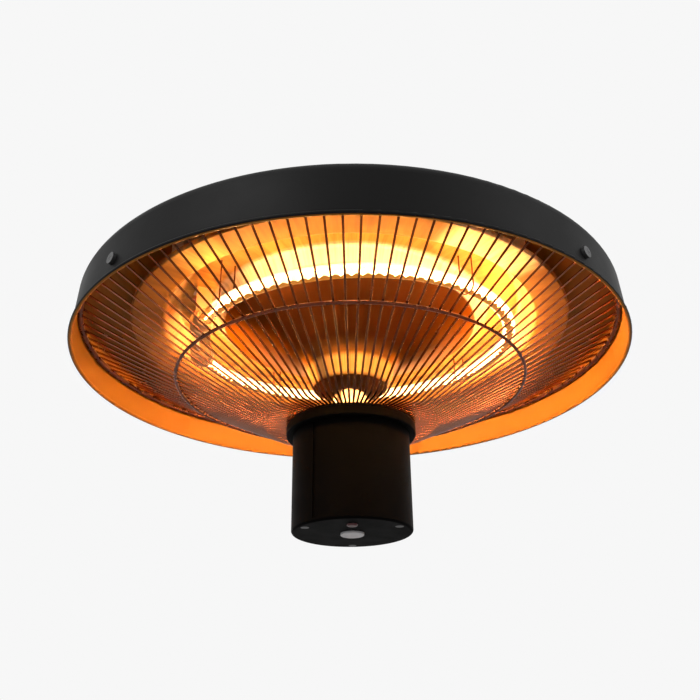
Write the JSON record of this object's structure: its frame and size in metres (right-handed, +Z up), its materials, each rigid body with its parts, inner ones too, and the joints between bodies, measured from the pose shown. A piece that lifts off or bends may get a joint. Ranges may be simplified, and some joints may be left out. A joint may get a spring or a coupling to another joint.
{
  "type": "hanging infrared patio heater",
  "caption": "Round hanging infrared heater with a spun shade, a glowing ring tube under a reflector, a radial wire guard, a central control hub and a hanging bail.",
  "frame": {"origin": "centre of the bail's hanging hole, at the middle of the strap's thickness", "axes": "+Z up along the stem, +X to the right and +Y away from the camera in the picture"},
  "size_m": [0.425, 0.4254, 0.3],
  "materials": {
    "black_enamel": "satin",
    "spun_aluminium": "spun satin",
    "galvanised_steel": "satin",
    "quartz": "clear",
    "glowing_alloy": "glowing",
    "white_ceramic": "matte",
    "steel_wire": "bright",
    "zinc_steel": "satin",
    "bright_steel": "polished",
    "mica_block": "matte",
    "glass_fibre_lead": "woven sleeve",
    "black_cable": "matte",
    "silicone": "matte",
    "black_hub_plastic": "satin",
    "black_screw": "satin",
    "black_nylon": "satin",
    "button_plastic": "satin",
    "lens_plastic": "gloss",
    "board_laminate": "satin",
    "component_plastic": "satin"
  },
  "bodies": {
    "bail": {"hanging_bail": "black_enamel"},
    "heater": {"shade": "black_enamel", "pivot_bracket": "black_enamel", "junction_cover": "black_enamel", "reflector": "spun_aluminium", "heat_baffle": "galvanised_steel", "tube_end_brackets": "galvanised_steel", "guard_clips": "galvanised_steel", "quartz_tube": "quartz", "filament": "glowing_alloy", "end_caps": "white_ceramic", "terminal_block": "white_ceramic", "guard_wires": "steel_wire", "guard_wire_ends": "steel_wire", "guard_mid_ring": "steel_wire", "guard_outer_ring": "steel_wire", "tube_clips": "steel_wire", "stem_tube": "zinc_steel", "stem_nuts": "zinc_steel", "stem_washer": "zinc_steel", "pivot_bolts": "zinc_steel", "pivot_nuts": "zinc_steel", "pivot_washers": "zinc_steel", "shade_screws": "zinc_steel", "cover_screws": "zinc_steel", "guard_clip_nuts": "zinc_steel", "bracket_rivets": "zinc_steel", "spacer_sleeve": "bright_steel", "upper_spacer": "bright_steel", "crown_spacer": "bright_steel", "guard_collar": "bright_steel", "standoff_blocks": "mica_block", "lead_wires": "glass_fibre_lead", "control_cable": "black_cable", "lead_grommets": "silicone", "hub_lid": "black_hub_plastic", "hub_housing": "black_hub_plastic", "hub_base": "black_hub_plastic", "hub_screws": "black_screw", "guard_clip_screws": "black_screw", "cable_gland": "black_nylon", "gland_nut": "black_nylon", "receiver_lens": "lens_plastic", "control_board": "board_laminate", "button_switch": "component_plastic", "relay": "component_plastic"},
    "button": {"power_button": "button_plastic"}
  },
  "joints": [
    {"name": "heater_swing", "type": "hinge", "parent": "bail", "child": "heater", "pos_m": [0, 0, -0.0515], "axis": [0, 1, 0], "range_deg": [-90, 90]},
    {"name": "button_press", "type": "slide", "parent": "heater", "child": "button", "axis": [0, 0, 1], "range_m": [0, 0.0015], "stiffness_N_per_m": 300}
  ]
}
